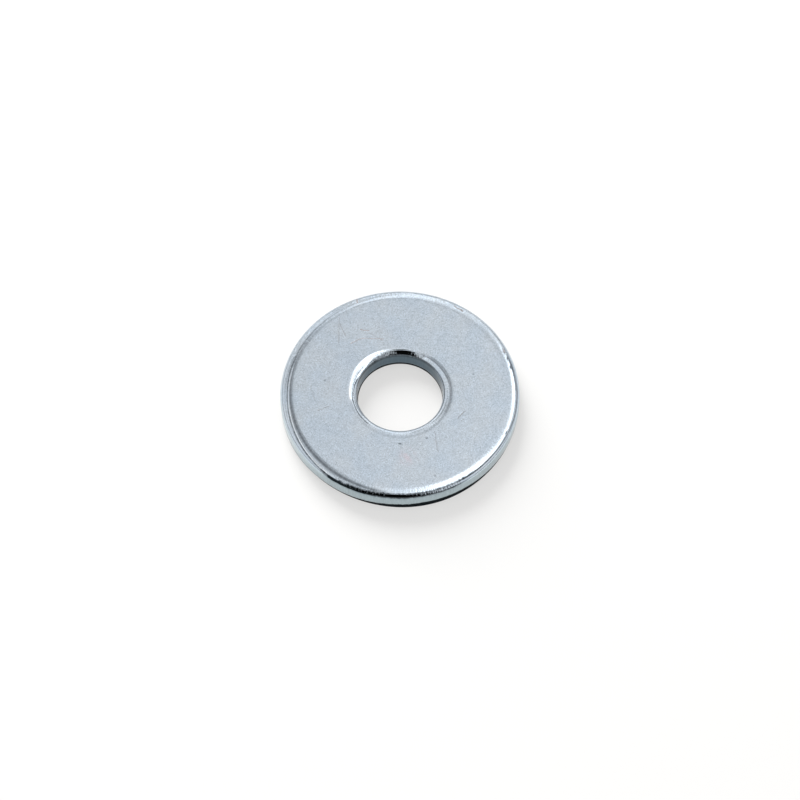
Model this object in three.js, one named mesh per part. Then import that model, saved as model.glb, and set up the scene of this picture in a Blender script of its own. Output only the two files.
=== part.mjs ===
// A flat washer of the large (repair) series for an M8 bolt: one punched ring of steel sheet, zinc plated.
// Millimetres, +Z up. The origin is on the bore's axis, in the plane of the underside.
//
// The washer is blanked and pierced in one stroke, so the same face is drawn down at the rim and at the
// bore. From that face down, each cut edge has a crown, a roll, a straight sheared land, a torn zone that
// leans back into the metal, and a small round where the burr was tumbled off.
import * as THREE from "three";

// Overall sizes.
const outerDiameter = 23.8;
const boreDiameter = 8.6;
const thickness = 2;

// The rim's drawn-down edge: the crown curves off the flat face until it slopes at its angle, and the roll
// turns the rest of the way to the sheared land.
const rimCrownWidth = 0.85;
const rimCrownAngle = THREE.MathUtils.degToRad(14);
const rimRollRadius = 0.5;

// The bore's drawn-down edge.
const boreCrownWidth = 0.6;
const boreCrownAngle = THREE.MathUtils.degToRad(14);
const boreRollRadius = 0.48;

// The lower end of both cut edges.
const tornHeight = 0.4;
const tornLean = 0.04;
const burrRoundRadius = 0.1;

// How finely the curves are faceted.
const turnSegments = 96;
const crownSegments = 4;
const rollSegments = 7;
const burrRoundSegments = 3;

const bluePassivatedZinc = new THREE.MeshStandardMaterial({
  color: 0xbfccd4,
  metalness: 1,
  roughness: 0.28,
});

// Points along a circle's arc from one angle to another. An angle of 0 points outwards along the section's
// first axis, and angles grow towards its second axis.
function arcPoints(centreX, centreY, radius, fromAngle, toAngle, segments) {
  const arc = new THREE.EllipseCurve(
    centreX, centreY, radius, radius, fromAngle, toAngle, toAngle < fromAngle,
  );
  return arc.getPoints(segments);
}

// One cut edge's section as points (distance from the wall into the metal, height), from the underside up
// to the flat face. The wall's sheared land is at distance 0.
function edgeSection(crownWidth, crownAngle, rollRadius) {
  const crownRadius = crownWidth / Math.sin(crownAngle);
  const crownDrop = crownRadius * (1 - Math.cos(crownAngle));
  const rollDrop = rollRadius * Math.cos(crownAngle);
  const rollWidth = rollRadius * (1 - Math.sin(crownAngle));
  const up = Math.PI / 2;
  const towardsWall = Math.PI;
  const down = Math.PI * 1.5;

  const burrRound = arcPoints(
    tornLean + burrRoundRadius, burrRoundRadius, burrRoundRadius,
    down, towardsWall, burrRoundSegments,
  );
  const tornTop = new THREE.Vector2(0, burrRoundRadius + tornHeight);
  const roll = arcPoints(
    rollRadius, thickness - crownDrop - rollDrop, rollRadius,
    towardsWall, up + crownAngle, rollSegments,
  );
  const crown = arcPoints(
    rollWidth + crownWidth, thickness - crownRadius, crownRadius,
    up + crownAngle, up, crownSegments,
  );
  return [...burrRound, tornTop, ...roll, ...crown.slice(1)];
}

// The ring's closed section as points (distance from the axis, height), turned about the axis.
function washerGeometry() {
  const rimRadius = outerDiameter / 2;
  const boreRadius = boreDiameter / 2;
  const rim = edgeSection(rimCrownWidth, rimCrownAngle, rimRollRadius)
    .map((point) => new THREE.Vector2(rimRadius - point.x, point.y));
  const bore = edgeSection(boreCrownWidth, boreCrownAngle, boreRollRadius)
    .map((point) => new THREE.Vector2(boreRadius + point.x, point.y));
  const section = [...rim, ...bore.reverse(), rim[0].clone()];
  return new THREE.LatheGeometry(section, turnSegments).rotateX(Math.PI / 2);
}

const washer = new THREE.Mesh(washerGeometry(), bluePassivatedZinc);
washer.name = "washer";

const flatWasher = new THREE.Group();
flatWasher.add(washer);

export default flatWasher;
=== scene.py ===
import bmesh
import bpy
import math
from mathutils import Matrix, Vector, noise


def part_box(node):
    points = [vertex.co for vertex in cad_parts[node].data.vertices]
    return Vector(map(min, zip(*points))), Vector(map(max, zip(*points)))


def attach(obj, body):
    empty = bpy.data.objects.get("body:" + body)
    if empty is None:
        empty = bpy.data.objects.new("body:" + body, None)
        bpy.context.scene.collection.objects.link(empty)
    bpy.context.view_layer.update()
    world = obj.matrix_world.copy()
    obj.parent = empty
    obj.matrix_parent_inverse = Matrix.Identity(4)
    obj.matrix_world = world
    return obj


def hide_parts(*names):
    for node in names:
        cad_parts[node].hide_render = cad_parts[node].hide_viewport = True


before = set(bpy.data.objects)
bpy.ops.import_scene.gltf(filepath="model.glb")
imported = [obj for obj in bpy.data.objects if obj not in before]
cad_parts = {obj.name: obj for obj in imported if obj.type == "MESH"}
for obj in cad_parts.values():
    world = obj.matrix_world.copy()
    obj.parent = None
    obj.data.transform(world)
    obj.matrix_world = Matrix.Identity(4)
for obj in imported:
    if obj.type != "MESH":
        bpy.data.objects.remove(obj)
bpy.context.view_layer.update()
mm = 0.001  # every size below is in millimetres, and Blender works in metres
print("frame loaded:", ", ".join(sorted(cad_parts)))


def hexColour(code):
    channels = [int(code[i:i + 2], 16) / 255 for i in (1, 3, 5)]
    linear = [c / 12.92 if c <= 0.04045 else ((c + 0.055) / 1.055) ** 2.4 for c in channels]
    return (*linear, 1.0)


def addNode(tree, kind, inputs=None, out=0, **settings):
    # Adds one node with its settings, values and links, and gives back the output that the next node needs.
    node = tree.nodes.new(kind)
    for name, value in settings.items():
        setattr(node, name, value)
    for key, value in (inputs or {}).items():
        if isinstance(value, bpy.types.NodeSocket):
            tree.links.new(value, node.inputs[key])
        else:
            node.inputs[key].default_value = value
    return node.outputs[out] if node.outputs else None


def newObject(name, bm, material):
    mesh = bpy.data.meshes.new(name)
    bm.to_mesh(mesh)
    bm.free()
    for face in mesh.polygons:
        face.use_smooth = True
    mesh.materials.append(material)
    obj = bpy.data.objects.new(name, mesh)
    bpy.context.scene.collection.objects.link(obj)
    return obj


# The washer is blanked and pierced from strip by one die. From the punched side down, each edge has a soft
# crown, a tight roll, a smooth sheared land, and a torn zone that ends in a tumbled burr.
washerShape = {
    "turnSteps": 720,
    "rimCrownWidth": 0.85, "rimCrownAngle": 14, "rimRoll": 0.5,
    "boreCrownWidth": 0.6, "boreCrownAngle": 14, "boreRoll": 0.48,
    "tornTop": 0.4, "rimLean": 0.07, "boreLean": 0.02, "burrRound": 0.12,
    "crownSegments": 16, "rollSegments": 16, "burrSegments": 4,
    "faceCuts": 26, "undersideCuts": 8, "landCuts": 4, "tornCuts": 6,
}

# What shearing and tumbling did to that shape. The turns are how often a noise changes round the ring.
washerWear = {
    "tornWanderTurns": 3.1, "tornRaggedTurns": 19, "tornRaggedShare": 0.6,
    "tornPlucks": 0.03, "tornStep": 0.01, "tornGrain": 0.16,
    "rollWander": 0.02, "rollWanderTurns": 2.3, "rollRipple": 0.006, "rollRippleTurns": 37,
    "faceRipple": 0.0015, "faceRippleSize": 1.7,
    "boreTaper": 0.05, "boreBurr": 0.05, "boreBurrHeight": 0.35,
    "sideBurr": 0.05, "sideBurrAt": (275, 50),  # azimuth, half width
    # The painted reflection lines also lift or sink the surface by paintedLineRidge per unit of tone.
    "paintedLineRidge": 0.012, "paintedLineGapTurns": 55, "lipReach": 0.42,
    "crownShine": 0.75, "landShine": 0.6, "crownComb": 0.6,  # shares of the roll's shine and comb
    "combAt": [(22, 14, 1.6), (-20, 12, 1.0), (178, 40, 0.8), (205, 12, 1.2)],  # azimuth, half width, extra
}

# How high the torn zone reaches, in bumps of (azimuth, half width in degrees, height). Azimuth 0 is towards
# the camera and it grows to the right.
tornReach = {
    "rim": {"height": 0.37, "wander": 0.07, "bumps": [(-2, 24, 0.08), (-75, 40, -0.22), (54, 34, 0.04)]},
    "bore": {"height": 0.28, "wander": 0.06, "bumps": [(180, 60, 0.06)]},
}

# Where the bore's crown starts further out, or further in, than the rest: (azimuth, half width, shift).
lipSpread = [(15, 62, 0.2), (178, 30, -0.3)]

# Where the bore's lip was struck nearly flat, like a small chamfer that leans inwards by an angle.
struckLips = [
    {"azimuth": 238, "halfWidth": 38, "width": 0.9, "angle": 11.5},
    {"azimuth": 177, "halfWidth": 20, "width": 0.52, "angle": 30},
]

burrBulge = {"azimuth": 14, "halfWidth": 32, "out": 0.22, "height": 0.3}

# Knocks from the barrel: (azimuth, radius, half width, depth). The last one is the pit on the face.
dents = [
    (157.5, 11.42, 0.16, 0.03), (151, 11.3, 0.2, 0.02), (146, 11.2, 0.14, 0.02), (203, 11.45, 0.15, 0.025),
    (113, 11.5, 0.14, 0.03), (109, 11.45, 0.12, 0.02), (104, 11.5, 0.14, 0.025), (38, 11.62, 0.13, 0.02),
    (296, 11.5, 0.14, 0.02), (318, 11.62, 0.16, 0.025), (352, 11.6, 0.12, 0.02), (21, 11.66, 0.12, 0.02),
    (66, 11.55, 0.15, 0.015), (248, 11.4, 0.14, 0.015), (205, 4.72, 0.12, 0.02), (148, 4.7, 0.14, 0.025),
    (282, 4.7, 0.12, 0.015), (0.3, 5.95, 0.14, 0.03),
]

# Painted reflections along the rolls and crowns: dark lines stand in for dark reflections and bright lines
# are painted highlights, each over a faint ridge or groove. A path is (azimuth, radius) points. A tone
# above 0 is a painted highlight on a faint ridge and below 0 a painted dark reflection in a faint groove,
# half is the half width, and broken is how much it is interrupted.
# A line fades in and out over usualFade degrees, unless it has its own fadeIn.
usualFade = 9
paintedReflectionLines = [
    {"path": [(246, 11.13), (270, 11.19), (285, 11.3), (300, 11.45), (315, 11.62), (336, 11.8)],
     "half": 0.065, "tone": -1.0, "broken": 0.35},
    {"path": [(250, 11.02), (270, 11.06), (285, 11.17), (300, 11.33), (315, 11.52), (334, 11.7)],
     "half": 0.05, "tone": 0.85, "broken": 0.2},
    {"path": [(190, 10.93), (230, 10.88), (285, 10.9), (315, 11.06), (340, 11.28), (356, 11.44)],
     "half": 0.16, "tone": -0.7, "broken": 0.25, "fadeIn": 90},
    {"path": [(26, 11.6), (45, 11.56), (60, 11.6), (75, 11.65), (90, 11.62), (114, 11.49)],
     "half": 0.042, "tone": -1.0, "broken": 0.25},
    {"path": [(316, 11.74), (330, 11.64), (345, 11.58), (366, 11.56), (380, 11.52), (392, 11.5), (402, 11.5)],
     "half": 0.1, "tone": -1.0, "broken": 0.8},
    {"path": [(319, 11.76), (334, 11.72), (350, 11.72)], "half": 0.1, "tone": -1.0, "broken": 0.45},
    {"path": [(318, 11.82), (360, 11.825), (396, 11.81)], "half": 0.05, "tone": -1.0, "broken": 0.3},
    {"path": [(225, 4.6), (250, 4.66), (270, 4.74), (300, 4.83), (325, 4.84)],
     "half": 0.055, "tone": -1.0, "broken": 0.45},
    {"path": [(112, 4.33), (180, 4.34), (215, 4.33), (270, 4.31), (335, 4.32)],
     "half": 0.045, "tone": -0.95, "broken": 0.4, "fadeIn": 30},
    {"path": [(55, 5.12), (90, 5.08), (120, 5.0), (145, 4.9)], "half": 0.2, "tone": -0.22, "broken": 0.2},
    {"path": [(236, 4.94), (255, 5.0), (270, 5.03), (286, 5.03)], "half": 0.08, "tone": 0.95, "broken": 0.15},
    {"path": [(100, 4.98), (130, 4.86), (158, 4.75)], "half": 0.06, "tone": -0.45, "broken": 0.5},
    {"path": [(192, 4.56), (204, 4.46), (222, 4.4)], "half": 0.07, "tone": -1.0, "broken": 0.8},
]


def bell(x, middle, halfWidth):
    return math.exp(-((x - middle) / halfWidth) ** 2)


def turnBell(azimuth, middle, halfWidth):
    return bell((azimuth - middle + 180) % 360 - 180, 0, halfWidth)


def smoothStep(x, start, end):
    t = min(1.0, max(0.0, (x - start) / (end - start)))
    return t * t * (3 - 2 * t)


def paintedReflectionTone(azimuth, radius, turn):
    # The summed tone of the painted reflection lines that pass here. A path past 360 carries on through
    # azimuth 0.
    tone = 0.0
    for line in paintedReflectionLines:
        path = line["path"]
        first, last = path[0][0], path[-1][0]
        at = azimuth + 360 if last > 360 and azimuth < 180 else azimuth
        if not first < at < last or abs(radius - path[0][1]) > 1:
            continue
        for (a, near), (b, far) in zip(path, path[1:]):
            if a <= at <= b:
                middle = near + (far - near) * (at - a) / (b - a)
        fade = smoothStep(at, first, first + line.get("fadeIn", usualFade))
        fade *= smoothStep(at, last, last - usualFade)
        lineBreakup = 0.5 + 1.3 * noise.noise(turn * washerWear["paintedLineGapTurns"] + Vector((0, 0, 9 * middle)))
        gaps = 1 - line["broken"] * min(1, max(0, lineBreakup))
        tone += line["tone"] * fade * gaps * bell(radius, middle, line["half"])
    return tone


def radiusOf(vert):
    return math.hypot(vert.co.x, vert.co.y)


def edgeCorners(crownWidth, crownAngle, roll, tornLean, thickness):
    # The sharp corners that the bevels turn into a burr round, a roll and a crown.
    # Each is (distance from the wall, height, bevel offset, bevel segments).
    s = washerShape
    angle = math.radians(crownAngle)
    lean = math.atan2(tornLean, s["tornTop"])
    crownRadius = crownWidth / math.sin(angle)
    crownDrop = crownRadius * (1 - math.cos(angle))
    rollWidth = roll * (1 - math.sin(angle))
    return [
        (tornLean, 0, s["burrRound"] * math.tan((math.pi / 2 - lean) / 2), s["burrSegments"]),
        (0, s["tornTop"], 0, 0),
        (0, thickness - crownDrop - rollWidth * math.tan(angle),
         roll * math.tan((math.pi / 2 - angle) / 2), s["rollSegments"]),
        (rollWidth + crownDrop / math.tan(angle), thickness,
         crownRadius * math.tan(angle / 2), s["crownSegments"]),
    ]


def wearWasher(bm, rimRadius, boreRadius, thickness):
    # Small moves of the turned shape: an uneven torn zone, a burr, a wandering roll, struck lips, dents and
    # a faint ripple. It also notes at each vertex which zone it is in, and the tone of the painted reflection
    # lines, for the zinc's look.
    s = washerShape
    w = washerWear
    torn = bm.verts.layers.float.new("torn")
    wall = bm.verts.layers.float.new("boreWallShade")
    land = bm.verts.layers.float.new("rimLand")
    rolled = bm.verts.layers.float.new("rolled")
    combed = bm.verts.layers.float.new("combed")
    paintedReflection = bm.verts.layers.float.new("paintedReflection")
    burrTop = s["burrRound"] * 0.9
    tornRow = s["tornTop"] - 1e-3  # rows below this height belong to the torn zone
    for vert in bm.verts:
        radius, height = radiusOf(vert), vert.co.z
        azimuth = math.degrees(math.atan2(vert.co.x, -vert.co.y)) % 360
        turn = Vector((vert.co.x, vert.co.y, 0)) / radius
        onRim = radius > (rimRadius + boreRadius) / 2
        outwards = 1 if onRim else -1
        depth = rimRadius - radius if onRim else radius - boreRadius  # how far in from the wall
        edge = "rim" if onRim else "bore"
        roll, crown, lean = s[edge + "Roll"], s[edge + "CrownWidth"], s[edge + "Lean"]
        landTop = thickness - roll - 0.1  # just below the roll
        onWall = depth < lean + 0.01
        away = 0.0

        if onWall and height < landTop:
            reach = tornReach[edge]
            top = reach["height"] + sum(h * turnBell(azimuth, a, half) for a, half, h in reach["bumps"])
            top += reach["wander"] * noise.noise(turn * w["tornWanderTurns"])
            top += reach["wander"] * w["tornRaggedShare"] * noise.noise(turn * w["tornRaggedTurns"])
            top = max(top, burrTop + 0.02)
            if height > s["tornTop"]:
                height = landTop - (landTop - height) * (landTop - top) / (landTop - s["tornTop"])
            elif height > burrTop:
                height = burrTop + (height - burrTop) * (top - burrTop) / (s["tornTop"] - burrTop)
            if vert.co.z < tornRow:
                spot = Vector((turn.x * radius, turn.y * radius, height)) / w["tornGrain"]
                plucked = w["tornStep"] + w["tornPlucks"] * (0.5 + noise.noise(spot))
                away -= plucked * lean / s["rimLean"]
        # The torn zone, near black in colour: bare steel, and painted shade of the contact under the edge.
        if depth < lean + s["burrRound"] and vert.co.z < tornRow:
            vert[torn] = 1.0
        if onRim and depth < 0.4 and height < burrBulge["height"]:
            out = burrBulge["out"] * turnBell(azimuth, burrBulge["azimuth"], burrBulge["halfWidth"])
            away += out * (1 - height / burrBulge["height"])

        if height > landTop:
            # Painted reflection lines: the tone darkens or lightens the colour in place of dark reflections
            # and highlights, and lifts or sinks the surface a little.
            vert[paintedReflection] = paintedReflectionTone(azimuth, radius, turn)
            height += w["paintedLineRidge"] * vert[paintedReflection]
            share = smoothStep(depth, crown + roll, roll * 0.3) * smoothStep(height, landTop, landTop + 0.15)
            sideways = w["rollWander"] * noise.noise(turn * w["rollWanderTurns"] + Vector((0, 0, outwards)))
            away += share * (sideways + w["rollRipple"] * noise.noise(turn * w["rollRippleTurns"]))
            vert[rolled] = w["crownShine"] * smoothStep(depth, crown + roll, crown + roll * 0.7)
            vert[rolled] += (1 - w["crownShine"]) * smoothStep(depth, roll * 1.2, roll * 0.7)
        elif depth < 0.01:
            vert[rolled] = w["landShine"]
        extraComb = sum(extra * turnBell(azimuth, a, half) for a, half, extra in w["combAt"])
        onRoll = smoothStep(depth, roll * 1.3, roll * 0.8)
        vert[combed] = vert[rolled] * (w["crownComb"] + (1 - w["crownComb"] + extraComb) * onRoll)

        if not onRim:
            spread = sum(shift * turnBell(azimuth, a, half) for a, half, shift in lipSpread)
            spread *= bell(depth, crown + roll * 0.8, w["lipReach"])
            away -= spread * smoothStep(height, landTop, thickness)
            for lip in struckLips:
                if 0.02 < depth < lip["width"] and height > landTop:
                    struck = thickness - math.tan(math.radians(lip["angle"])) * (lip["width"] - depth)
                    share = turnBell(azimuth, lip["azimuth"], lip["halfWidth"]) * smoothStep(depth, 0, 0.1)
                    height += share * (struck - height)
            if depth < 0.3:
                burr = w["boreBurr"] + w["sideBurr"] * turnBell(azimuth, *w["sideBurrAt"])
                away += w["boreTaper"] * smoothStep(height, landTop, 0)
                away += burr * smoothStep(height, w["boreBurrHeight"], 0)
            # The bore wall's mask, where the colour is darkened as painted shade inside the hole.
            if depth < lean + 0.06:
                vert[wall] = smoothStep(height, landTop + 0.35, landTop + 0.08)
        elif height > thickness / 2:
            vert[land] = smoothStep(height, thickness - 0.25, landTop + 0.1)
        elif onWall:
            vert[land] = 1.0

        vert.co = Vector((turn.x * (radius + away * outwards), turn.y * (radius + away * outwards), height))
        if depth > 0.3 and height > thickness / 2:
            vert.co.z += w["faceRipple"] * noise.noise(vert.co / w["faceRippleSize"])
        if height > landTop:
            for where, dentRadius, halfWidth, sink in dents:
                across = math.radians((azimuth - where + 180) % 360 - 180) * radius
                gap = math.hypot(across, radius - dentRadius)
                if gap < 2.5 * halfWidth:
                    vert.co.z -= sink * bell(gap, 0, halfWidth)


def buildWasher(material):
    s = washerShape
    low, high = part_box("washer")
    thickness = (high.z - low.z) / mm
    rimRadius = high.x / mm
    boreRadius = min(radiusOf(v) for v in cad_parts["washer"].data.vertices) / mm

    rim = edgeCorners(s["rimCrownWidth"], s["rimCrownAngle"], s["rimRoll"], s["rimLean"], thickness)
    bore = edgeCorners(s["boreCrownWidth"], s["boreCrownAngle"], s["boreRoll"], s["boreLean"], thickness)
    corners = [(rimRadius - x, z, offset, cuts) for x, z, offset, cuts in rim]
    corners += [(boreRadius + x, z, offset, cuts) for x, z, offset, cuts in reversed(bore)]

    bm = bmesh.new()
    section = [bm.verts.new((radius, 0, height)) for radius, height, _, _ in corners]
    edges = [bm.edges.new((a, b)) for a, b in zip(section, section[1:] + section[:1])]
    bmesh.ops.spin(bm, geom=section + edges, cent=(0, 0, 0), axis=(0, 0, 1), angle=math.tau,
                   steps=s["turnSteps"], use_merge=True)
    bmesh.ops.remove_doubles(bm, verts=bm.verts, dist=1e-5)

    same = 1e-4  # vertices this close to a corner's ring are on it
    for radius, height, offset, segments in corners:
        if segments:
            loop = [e for e in bm.edges
                    if all(abs(radiusOf(v) - radius) < same and abs(v.co.z - height) < same for v in e.verts)]
            bmesh.ops.bevel(bm, geom=loop, offset=offset, offset_type="OFFSET", segments=segments,
                            profile=0.5, affect="EDGES", material=-1)

    def cutBetween(lowest, highest, cuts):
        # Gives the surface between two heights its own rows, by cutting the long edges that run along the
        # section. The bevels' own rows are closer together than 0.15 and stay as they are.
        chosen = []
        for edge in bm.edges:
            a, b = (v.co for v in edge.verts)
            alongSection = abs(a.x * b.y - a.y * b.x) < 0.02
            if alongSection and (a - b).length > 0.15 and lowest < min(a.z, b.z) and max(a.z, b.z) < highest:
                chosen.append(edge)
        bmesh.ops.subdivide_edges(bm, edges=chosen, cuts=cuts, use_grid_fill=True)

    slack = 1e-3
    cutBetween(thickness - slack, thickness + slack, s["faceCuts"])
    cutBetween(-slack, slack, s["undersideCuts"])
    cutBetween(s["tornTop"] - slack, thickness - s["rimRoll"], s["landCuts"])
    cutBetween(s["burrRound"] * 0.7, s["tornTop"] + slack, s["tornCuts"])
    bmesh.ops.remove_doubles(bm, verts=bm.verts, dist=1e-5)
    wearWasher(bm, rimRadius, boreRadius, thickness)
    bmesh.ops.recalc_face_normals(bm, faces=bm.faces)
    print("washer turned:", len(bm.verts), "vertices")
    for vert in bm.verts:
        vert.co *= mm
    return newObject("washerRing", bm, material)


# Bright zinc plate under a clear blue passivate: a cool, slightly blue metal with a satin face, brighter
# where the die rolled and burnished the edge, with painted highlights and dark reflections along the edges,
# nearly black where the steel tore and little zinc took, darkened further there with painted shade of the
# contact under the edge, and a bore wall darkened with painted shade inside the hole.
zincLook = {
    "metal": "#CBD6E1", "cool": "#C3D2E1", "warm": "#CFD6DC", "tintSize": 2.6, "tintShare": 0.35,
    # boreWallShade is sheared steel darkened with painted shade inside the hole.
    # torn is bare torn steel darkened further with painted shade of the contact under the edge.
    "rimLand": "#B9C9CF", "boreWallShade": "#5F707B", "torn": "#171D21", "tornFleck": "#4A545C",
    # Colours of the painted reflection lines: near black for painted dark reflections, near white for painted
    # highlights.
    "paintedDarkReflection": "#262E33", "paintedHighlight": "#F6F9FB",
    "faceRoughness": 0.24, "rollRoughness": 0.07, "tornRoughness": 0.5, "roughnessSpread": 0.06,
    # Etched crystals are about 0.02 mm and drag lines 0.05 mm, and both are drawn coarser so that they show.
    "grainSize": 0.075, "grainContrast": 0.62, "grainBump": 0.004,
    "combSize": 0.15, "combSlant": (0.7, 0.7, 0.9), "combBump": 0.014, "streakContrast": 0.1,
    # Drag lines have their full size at these radii, and bore lines give way to rim lines at combSplit.
    "boreComb": 4.5, "rimComb": 11.7, "combSplit": 8,
    "blotchSize": 0.45, "blotchContrast": 0.035,
    "poreSize": 0.42, "poreRadius": 0.055, "poreDepth": 0.5,
    "scratchWidth": 0.1, "scratchBump": 0.015, "scratchShare": 0.8,
    "scratchJitterSize": 0.4, "scratchJitter": 0.3,
    "stain": "#D4C8D1", "stainAt": (0.7, -7.45), "stainRadius": 1.4, "stainShare": 0.6,
    "pit": "#565F66", "pitWidth": 0.16,
    "rusty": "#A58E84", "darkScratch": "#85817F",
    "topFrom": 1.5,  # marks on the face show only above this height
}

# Marks on the top face, in millimetres from the middle: (start, end, strength).
darkScratches = [
    ((-6.15, 8.5), (-6.15, 5.5), 0.5), ((-6.15, 7.9), (-5.5, 6.4), 0.6), ((-3.2, 6.7), (-1.7, 5.8), 0.45),
    ((-8.1, -2.2), (-7.1, -1.75), 0.8), ((5.7, -3.1), (6.4, -2.3), 0.8), ((3.4, -4.6), (3.7, -6.8), 0.5),
    ((6.0, -3.4), (6.3, -3.2), 0.6), ((-8.9, 0.6), (-8.4, -1.2), 0.25),
]
pits = [
    ((-0.08, -5.95), (0.03, -5.95), 0.75), ((2.6, -5.3), (2.65, -5.35), 0.4),
    ((3.4, -9.5), (3.45, -9.55), 0.3), ((-7.5, 1.2), (-7.45, 1.2), 0.35),
    ((-6.4, 3.1), (-6.4, 3.15), 0.2), ((7.3, 1.9), (7.3, 1.95), 0.2),
]
rustyScratches = [
    ((-4.0, 7.1), (-3.2, 7.0), 0.8), ((-5.0, 5.5), (-3.8, 6.1), 0.7), ((-3.8, 6.1), (-1.7, 6.0), 0.6),
    ((5.5, 9.9), (6.3, 9.3), 0.9), ((-4.35, 10.8), (-4.3, 10.3), 0.9), ((10.3, 4.9), (10.5, 4.5), 0.8),
]


def scratchMask(tree, flat, scratches, width):
    # Each scratch is the distance to a straight run from start to end, turned into a soft line.
    width *= mm
    mask = None
    for start, end, strength in scratches:
        first, last = (Vector((*point, 0)) * mm for point in (start, end))
        run = last - first
        offset = addNode(tree, "ShaderNodeVectorMath", {0: flat, 1: first}, operation="SUBTRACT")
        along = addNode(tree, "ShaderNodeVectorMath", {0: offset, 1: run / run.length_squared},
                        out="Value", operation="DOT_PRODUCT")
        along = addNode(tree, "ShaderNodeClamp", {"Value": along})
        nearest = addNode(tree, "ShaderNodeVectorMath", {0: run, "Scale": along}, operation="SCALE")
        gap = addNode(tree, "ShaderNodeVectorMath", {0: offset, 1: nearest},
                      out="Value", operation="DISTANCE")
        line = addNode(tree, "ShaderNodeMapRange", {
            "Value": gap, "From Min": width * 0.3, "From Max": width, "To Min": strength, "To Max": 0.0,
        }, interpolation_type="SMOOTHSTEP")
        if mask is None:
            mask = line
        else:
            mask = addNode(tree, "ShaderNodeMath", {0: mask, 1: line}, operation="MAXIMUM")
    return mask


def makeZinc():
    z = zincLook
    material = bpy.data.materials.new("brightZincPlateBluePassivate")
    material.use_nodes = True
    tree = material.node_tree
    shader = tree.nodes["Principled BSDF"]
    point = addNode(tree, "ShaderNodeTexCoord", out="Object")
    torn, wall, land, rolled, combed, paintedReflection = (
        addNode(tree, "ShaderNodeAttribute", out="Fac", attribute_name=name)
        for name in ("torn", "boreWallShade", "rimLand", "rolled", "combed", "paintedReflection"))
    faceShare = addNode(tree, "ShaderNodeMath", {0: 1.0, 1: rolled}, operation="SUBTRACT")

    # Etched grain, soft blotches and slow changes of tint, all over.
    grain = addNode(tree, "ShaderNodeTexNoise", {
        "Vector": point, "Scale": 1 / (z["grainSize"] * mm), "Detail": 3.0, "Roughness": 0.7,
    })
    blotch = addNode(tree, "ShaderNodeTexNoise", {
        "Vector": point, "Scale": 1 / (z["blotchSize"] * mm), "Detail": 3.0, "Roughness": 0.55,
    })
    tint = addNode(tree, "ShaderNodeTexNoise", {
        "Vector": point, "Scale": 1 / (z["tintSize"] * mm), "Detail": 2.0, "Roughness": 0.5,
    })
    tint = addNode(tree, "ShaderNodeMapRange", {"Value": tint, "From Min": 0.35, "From Max": 0.65})
    colour = addNode(tree, "ShaderNodeMix", {0: tint, 6: hexColour(z["cool"]), 7: hexColour(z["warm"])},
                     out=2, data_type="RGBA")
    colour = addNode(tree, "ShaderNodeMix", {0: z["tintShare"], 6: hexColour(z["metal"]), 7: colour},
                     out=2, data_type="RGBA")

    # The violet stain, which thins out unevenly.
    flat = addNode(tree, "ShaderNodeVectorMath", {0: point, 1: (1, 1, 0)}, operation="MULTIPLY")
    topOnly = addNode(tree, "ShaderNodeSeparateXYZ", {0: point}, out="Z")
    topOnly = addNode(tree, "ShaderNodeMath", {0: topOnly, 1: z["topFrom"] * mm}, operation="GREATER_THAN")
    stainAt = Vector((*z["stainAt"], 0)) * mm
    stain = addNode(tree, "ShaderNodeVectorMath", {0: flat, 1: stainAt}, out="Value", operation="DISTANCE")
    stain = addNode(tree, "ShaderNodeMapRange", {
        "Value": stain, "From Min": 0.0, "From Max": z["stainRadius"] * mm,
        "To Min": z["stainShare"], "To Max": 0.0,
    }, interpolation_type="SMOOTHSTEP")
    patchy = addNode(tree, "ShaderNodeMapRange", {"Value": blotch, "From Min": 0.4, "From Max": 0.62})
    stain = addNode(tree, "ShaderNodeMath", {0: stain, 1: patchy}, operation="MULTIPLY")
    stain = addNode(tree, "ShaderNodeMath", {0: stain, 1: topOnly}, operation="MULTIPLY")
    colour = addNode(tree, "ShaderNodeMix", {0: stain, 6: colour, 7: hexColour(z["stain"])},
                     out=2, data_type="RGBA")

    # Scratches wander a little and break up along their length, as the grain lets them.
    jitter = addNode(tree, "ShaderNodeTexNoise", {
        "Vector": point, "Scale": 1 / (z["scratchJitterSize"] * mm), "Detail": 2.0,
    }, out="Color")
    jitter = addNode(tree, "ShaderNodeVectorMath", {0: jitter, 1: (0.5, 0.5, 0.5)}, operation="SUBTRACT")
    jitter = addNode(tree, "ShaderNodeVectorMath", {0: jitter, 1: (z["scratchJitter"] * mm,) * 2 + (0,)},
                     operation="MULTIPLY")
    wandering = addNode(tree, "ShaderNodeVectorMath", {0: flat, 1: jitter}, operation="ADD")
    broken = addNode(tree, "ShaderNodeMapRange", {"Value": grain, "From Min": 0.4, "From Max": 0.55,
                                                  "To Min": 0.2, "To Max": z["scratchShare"]})
    broken = addNode(tree, "ShaderNodeMath", {0: broken, 1: topOnly}, operation="MULTIPLY")
    cuts = None
    for scratches, scratchTint in ((darkScratches, "darkScratch"), (rustyScratches, "rusty")):
        mask = scratchMask(tree, wandering, scratches, z["scratchWidth"])
        mask = addNode(tree, "ShaderNodeMath", {0: mask, 1: broken}, operation="MULTIPLY")
        colour = addNode(tree, "ShaderNodeMix", {0: mask, 6: colour, 7: hexColour(z[scratchTint])},
                         out=2, data_type="RGBA")
        if cuts is None:
            cuts = mask
        else:
            cuts = addNode(tree, "ShaderNodeMath", {0: cuts, 1: mask}, operation="MAXIMUM")
    mask = scratchMask(tree, flat, pits, z["pitWidth"])
    mask = addNode(tree, "ShaderNodeMath", {0: mask, 1: topOnly}, operation="MULTIPLY")
    colour = addNode(tree, "ShaderNodeMix", {0: mask, 6: colour, 7: hexColour(z["pit"])},
                     out=2, data_type="RGBA")

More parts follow.
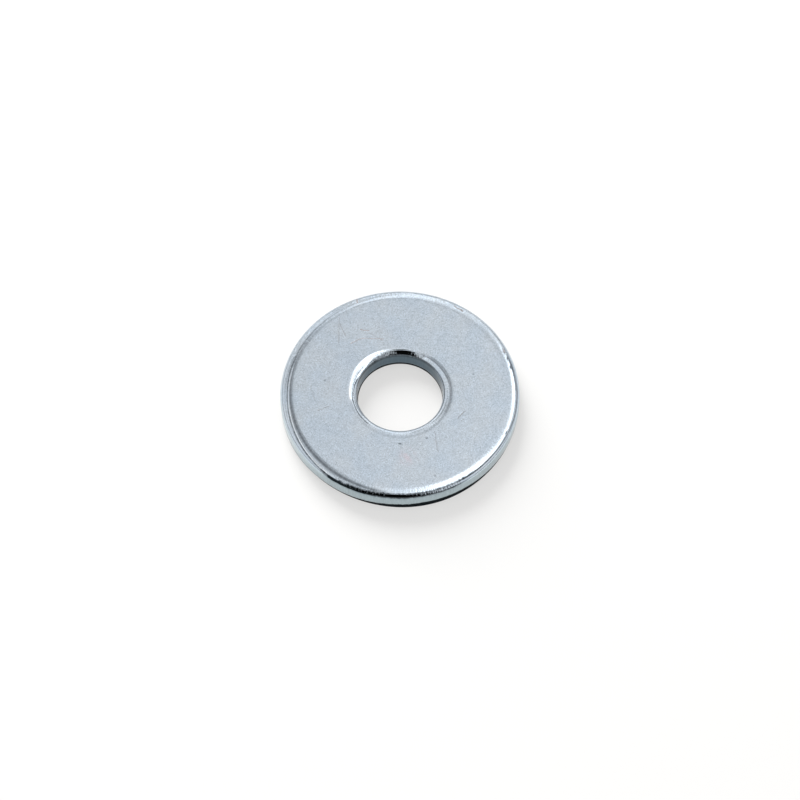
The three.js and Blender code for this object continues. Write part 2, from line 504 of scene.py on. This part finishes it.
    # Pores: small dark spots where gas sat during plating.
    pores = addNode(tree, "ShaderNodeTexVoronoi", {"Vector": point, "Scale": 1 / (z["poreSize"] * mm)})
    pores = addNode(tree, "ShaderNodeMapRange", {
        "Value": pores, "From Min": 0.3 * z["poreRadius"] / z["poreSize"],
        "From Max": z["poreRadius"] / z["poreSize"], "To Min": z["poreDepth"], "To Max": 0.0,
    }, interpolation_type="SMOOTHSTEP")
    pores = addNode(tree, "ShaderNodeMath", {0: pores, 1: faceShare}, operation="MULTIPLY")

    # Light and dark of the grain, blotches and pores together.
    shade = addNode(tree, "ShaderNodeMapRange", {
        "Value": grain, "From Min": 0.3, "From Max": 0.7,
        "To Min": 1 - z["grainContrast"] / 2, "To Max": 1 + z["grainContrast"] / 2,
    })
    softShade = addNode(tree, "ShaderNodeMapRange", {
        "Value": blotch, "From Min": 0.3, "From Max": 0.7,
        "To Min": 1 - z["blotchContrast"], "To Max": 1 + z["blotchContrast"],
    })
    shade = addNode(tree, "ShaderNodeMath", {0: shade, 1: softShade}, operation="MULTIPLY")
    lessPores = addNode(tree, "ShaderNodeMath", {0: 1.0, 1: pores}, operation="SUBTRACT")
    shade = addNode(tree, "ShaderNodeMath", {0: shade, 1: lessPores}, operation="MULTIPLY")
    colour = addNode(tree, "ShaderNodeVectorMath", {0: colour, "Scale": shade}, operation="SCALE")

    # Drag lines run over the edge, so their pattern is stretched along the section and fine around the turn.
    turn = addNode(tree, "ShaderNodeVectorMath", {0: flat}, operation="NORMALIZE")
    reach = addNode(tree, "ShaderNodeVectorMath", {0: flat}, out="Value", operation="LENGTH")
    onRim = addNode(tree, "ShaderNodeMath", {0: reach, 1: z["combSplit"] * mm}, operation="GREATER_THAN")
    around = addNode(tree, "ShaderNodeMix", {
        0: onRim, 2: z["boreComb"] / z["combSize"], 3: z["rimComb"] / z["combSize"],
    })
    turn = addNode(tree, "ShaderNodeVectorMath", {0: turn, "Scale": around}, operation="SCALE")
    slant = addNode(tree, "ShaderNodeVectorMath", {0: point, 1: Vector(z["combSlant"]) / mm},
                    operation="MULTIPLY")
    turn = addNode(tree, "ShaderNodeVectorMath", {0: turn, 1: slant}, operation="ADD")
    comb = addNode(tree, "ShaderNodeTexNoise", {
        "Vector": turn, "Scale": 1.0, "Detail": 2.0, "Roughness": 0.6,
    })

    # The sheared walls are greyer and streaked where the punch dragged past, and the bore wall is much
    # darker: painted shade inside the hole.
    streaks = addNode(tree, "ShaderNodeMapRange", {
        "Value": comb, "From Min": 0.3, "From Max": 0.7,
        "To Min": 1 - z["streakContrast"], "To Max": 1 + z["streakContrast"],
    })
    for share, name in ((land, "rimLand"), (wall, "boreWallShade")):
        streaked = addNode(tree, "ShaderNodeVectorMath", {0: hexColour(z[name])[:3], "Scale": streaks},
                           operation="SCALE")
        colour = addNode(tree, "ShaderNodeMix", {0: share, 6: colour, 7: streaked}, out=2, data_type="RGBA")
    # Painted reflections: a painted highlight where the tone is above 0 and a painted dark reflection where
    # it is below.
    for gain, name in ((-1.0, "paintedDarkReflection"), (1.0, "paintedHighlight")):
        share = addNode(tree, "ShaderNodeMath", {0: paintedReflection, 1: gain}, operation="MULTIPLY", use_clamp=True)
        colour = addNode(tree, "ShaderNodeMix", {0: share, 6: colour, 7: hexColour(z[name])},
                         out=2, data_type="RGBA")

    # The torn zone is bare dark steel with a few plated flecks, and its near black is also painted shade of
    # the contact under the edge.
    fleck = addNode(tree, "ShaderNodeMapRange", {"Value": grain, "From Min": 0.55, "From Max": 0.75})
    tornColour = addNode(tree, "ShaderNodeMix", {
        0: fleck, 6: hexColour(z["torn"]), 7: hexColour(z["tornFleck"]),
    }, out=2, data_type="RGBA")
    colour = addNode(tree, "ShaderNodeMix", {0: torn, 6: colour, 7: tornColour}, out=2, data_type="RGBA")
    tree.links.new(colour, shader.inputs["Base Color"])
    shader.inputs["Metallic"].default_value = 1

    # Satin on the faces, nearly a mirror on the rolls, rough where torn.
    roughness = addNode(tree, "ShaderNodeMix", {0: rolled, 2: z["faceRoughness"], 3: z["rollRoughness"]})
    spread = addNode(tree, "ShaderNodeMapRange", {
        "Value": blotch, "From Min": 0.3, "From Max": 0.7,
        "To Min": -z["roughnessSpread"] / 2, "To Max": z["roughnessSpread"] / 2,
    })
    spread = addNode(tree, "ShaderNodeMath", {0: spread, 1: faceShare}, operation="MULTIPLY")
    roughness = addNode(tree, "ShaderNodeMath", {0: roughness, 1: spread}, operation="ADD")
    roughness = addNode(tree, "ShaderNodeMix", {0: torn, 2: roughness, 3: z["tornRoughness"]})
    tree.links.new(roughness, shader.inputs["Roughness"])

    # The drag lines, the grain and the scratches are felt too.
    combShare = addNode(tree, "ShaderNodeMath", {0: comb, 1: combed}, operation="MULTIPLY")
    height = addNode(tree, "ShaderNodeBump", {
        "Height": combShare, "Distance": z["combBump"] * mm, "Strength": 1.0,
    })
    grainHeight = addNode(tree, "ShaderNodeMath", {0: grain, 1: faceShare}, operation="MULTIPLY")
    height = addNode(tree, "ShaderNodeBump", {
        "Height": grainHeight, "Distance": z["grainBump"] * mm, "Strength": 1.0, "Normal": height,
    })
    height = addNode(tree, "ShaderNodeBump", {
        "Height": cuts, "Distance": z["scratchBump"] * mm, "Strength": 1.0, "Normal": height,
    }, invert=True)
    tree.links.new(height, shader.inputs["Normal"])
    return material


# An opal acrylic light table: matt and even, lit a little from below, so shadows on it stay weak.
tableLook = {
    "colour": "#80807F", "roughness": 0.9, "specular": 0.0,
    "glow": 0.6, "glowColour": (1, 0.995, 0.99, 1), "halfWidth": 3000,
}


def makeLightTable():
    material = bpy.data.materials.new("opalAcrylicLightTable")
    material.use_nodes = True
    shader = material.node_tree.nodes["Principled BSDF"]
    shader.inputs["Base Color"].default_value = hexColour(tableLook["colour"])
    shader.inputs["Roughness"].default_value = tableLook["roughness"]
    shader.inputs["Specular IOR Level"].default_value = tableLook["specular"]
    shader.inputs["Emission Color"].default_value = tableLook["glowColour"]
    shader.inputs["Emission Strength"].default_value = tableLook["glow"]
    bm = bmesh.new()
    bmesh.ops.create_grid(bm, x_segments=1, y_segments=1, size=tableLook["halfWidth"] * mm)
    return newObject("lightTable", bm, material)


# The light tent's parts, as directions from the washer. Patches are placed by the X and Y of their direction,
# so 0, 0 is straight up, and level is what they add. The gap on the camera's side runs between two azimuths,
# counted from +X, from its foot up, and it makes the black lines in the rolls. The hem darkens all round.
tent = {
    "level": 0.9, "backdrop": 1.0,
    "gap": {"left": -128, "right": -62, "reach": 0.05, "soft": 0.03, "full": 78, "foot": 88, "dark": 0.997},
    "hem": {"top": 0.36, "bottom": 0.2, "dark": 0.45},
    "patches": {
        "seam": {"centre": (-0.145, 0.27), "half": (0.06, 0.33), "soft": 0.04, "level": -0.4},
        "crossSeam": {"centre": (0.0, 0.58), "half": (0.4, 0.045), "soft": 0.04, "level": -0.2},
        "backWall": {"centre": (0.0, 0.8), "half": (0.5, 0.13), "soft": 0.08, "level": 0.24},
        "glow": {"centre": (-0.03, 0.17), "half": (0.11, 0.12), "soft": 0.14, "level": 0.2},
        "frontPanel": {"centre": (0.205, 0.205), "half": (0.13, 0.115), "soft": 0.03, "level": 1.4},
        "boxFrame": {"centre": (0.45, 0.3), "half": (0.075, 0.55), "soft": 0.03, "level": -0.75},
    },
    # A bright pole runs past on the left between two darker folds, along the circle square to this direction.
    "pole": {"square": (0.748, -0.466, 0.472), "half": 0.03, "soft": 0.02, "level": 0.5,
             "foldAt": -0.08, "foldHalf": 0.03, "foldLevel": -0.5},
}


def makeTent():
    world = bpy.data.worlds.new("lightTent")
    bpy.context.scene.world = world
    world.use_nodes = True
    tree = world.node_tree
    tree.nodes.clear()
    direction = addNode(tree, "ShaderNodeTexCoord", out="Generated")
    axes = {axis: addNode(tree, "ShaderNodeSeparateXYZ", {0: direction}, out=axis) for axis in "XYZ"}

    def band(value, middle, half, soft):
        # 1 within half of the middle, falling to 0 over soft.
        off = addNode(tree, "ShaderNodeMath", {0: value, 1: middle}, operation="SUBTRACT")
        off = addNode(tree, "ShaderNodeMath", {0: off}, operation="ABSOLUTE")
        return addNode(tree, "ShaderNodeMapRange", {
            "Value": off, "From Min": half - soft / 2, "From Max": half + soft / 2,
            "To Min": 1.0, "To Max": 0.0,
        }, interpolation_type="SMOOTHSTEP")

    above = addNode(tree, "ShaderNodeMath", {0: axes["Z"], 1: 0.0}, operation="GREATER_THAN")
    level = tent["level"]
    for patch in tent["patches"].values():
        mask = above
        for axis, middle, half in zip("XY", patch["centre"], patch["half"]):
            inside = band(axes[axis], middle, half, patch["soft"])
            mask = addNode(tree, "ShaderNodeMath", {0: mask, 1: inside}, operation="MULTIPLY")
        level = addNode(tree, "ShaderNodeMath", {0: mask, 1: patch["level"], 2: level},
                        operation="MULTIPLY_ADD")

    p = tent["pole"]
    side = addNode(tree, "ShaderNodeVectorMath", {0: direction, 1: p["square"]}, out="Value",
                   operation="DOT_PRODUCT")
    for middle, half, change in ((0.0, p["half"], p["level"]), (p["foldAt"], p["foldHalf"], p["foldLevel"])):
        inside = band(side, middle, half, p["soft"])
        level = addNode(tree, "ShaderNodeMath", {0: inside, 1: change, 2: level}, operation="MULTIPLY_ADD")

    h = tent["hem"]
    hem = addNode(tree, "ShaderNodeMapRange", {
        "Value": axes["Z"], "From Min": h["bottom"], "From Max": h["top"],
        "To Min": 1 - h["dark"], "To Max": 1.0,
    }, interpolation_type="SMOOTHSTEP")
    level = addNode(tree, "ShaderNodeMath", {0: level, 1: hem}, operation="MULTIPLY")

    g = tent["gap"]
    left, right = math.radians(g["left"]), math.radians(g["right"])
    gap = addNode(tree, "ShaderNodeMapRange", {
        "Value": axes["Z"], "To Min": 0.0, "To Max": g["dark"],
        "From Min": math.cos(math.radians(g["foot"])), "From Max": math.cos(math.radians(g["full"])),
    }, interpolation_type="SMOOTHSTEP")
    for square in ((-math.sin(left), math.cos(left), 0), (math.sin(right), -math.cos(right), 0)):
        side = addNode(tree, "ShaderNodeVectorMath", {0: direction, 1: square}, out="Value",
                       operation="DOT_PRODUCT")
        inside = addNode(tree, "ShaderNodeMapRange", {
            "Value": side, "From Min": -g["reach"] - g["soft"], "From Max": -g["reach"] + g["soft"],
        }, interpolation_type="SMOOTHSTEP")
        gap = addNode(tree, "ShaderNodeMath", {0: gap, 1: inside}, operation="MULTIPLY")
    lit = addNode(tree, "ShaderNodeMath", {0: 1.0, 1: gap}, operation="SUBTRACT")
    level = addNode(tree, "ShaderNodeMath", {0: level, 1: lit}, operation="MULTIPLY")

    cameraRay = addNode(tree, "ShaderNodeLightPath", out="Is Camera Ray")
    strength = addNode(tree, "ShaderNodeMix", {0: cameraRay, 2: level, 3: tent["backdrop"]})
    background = addNode(tree, "ShaderNodeBackground", {"Color": (1, 1, 1, 1), "Strength": strength})
    addNode(tree, "ShaderNodeOutputWorld", {"Surface": background})


softboxes = {
    "overheadSoftbox": {"at": (370, 475, 900), "size": (112, 460), "radiance": 1.4, "glossy": True},
    "backSoftbox": {"at": (-309, 670, 265), "size": (700, 430), "radiance": 30, "glossy": False},
}


def addSoftbox(name):
    # A rectangular lamp that faces the washer, with its second side running front to back. Its radiance is on
    # the tent's scale, where 1 shows as white.
    box = softboxes[name]
    data = bpy.data.lights.new(name, "AREA")
    data.shape = "RECTANGLE"
    data.size, data.size_y = (side * mm for side in box["size"])
    data.energy = box["radiance"] * math.pi * data.size * data.size_y
    lamp = bpy.data.objects.new(name, data)
    lamp.location = Vector(box["at"]) * mm
    facing = lamp.location.normalized()
    across = Vector((0, 1, 0)).cross(facing).normalized()
    lamp.rotation_euler = Matrix((across, facing.cross(across), facing)).transposed().to_euler()
    lamp.visible_glossy = box["glossy"]
    lamp.visible_camera = False
    bpy.context.scene.collection.objects.link(lamp)


cameraView = {
    "elevation": 60.5, "distance": 257.8, "aimHeight": 0.15, "lens": 116.1, "sensor": 36,
    "nearest": 10, "farthest": 20000,
}


def addCamera():
    v = cameraView
    data = bpy.data.cameras.new("studioCamera")
    data.lens = v["lens"]
    data.sensor_width = v["sensor"]
    data.clip_start = v["nearest"] * mm
    data.clip_end = v["farthest"] * mm
    camera = bpy.data.objects.new("studioCamera", data)
    tilt = math.radians(v["elevation"])
    back = Vector((0, -math.cos(tilt), math.sin(tilt)))
    camera.location = back * v["distance"] * mm + Vector((0, 0, v["aimHeight"] * mm))
    camera.rotation_mode = "QUATERNION"
    camera.rotation_quaternion = back.to_track_quat("Z", "Y")
    bpy.context.scene.collection.objects.link(camera)
    bpy.context.scene.camera = camera


ring = buildWasher(makeZinc())
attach(ring, "root")
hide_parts("washer")
print("washer ring made:", len(ring.data.polygons), "faces")

table = makeLightTable()
makeTent()
for name in softboxes:
    addSoftbox(name)
addCamera()
bpy.context.scene.view_settings.view_transform = "Standard"
print("stage, light and camera made")
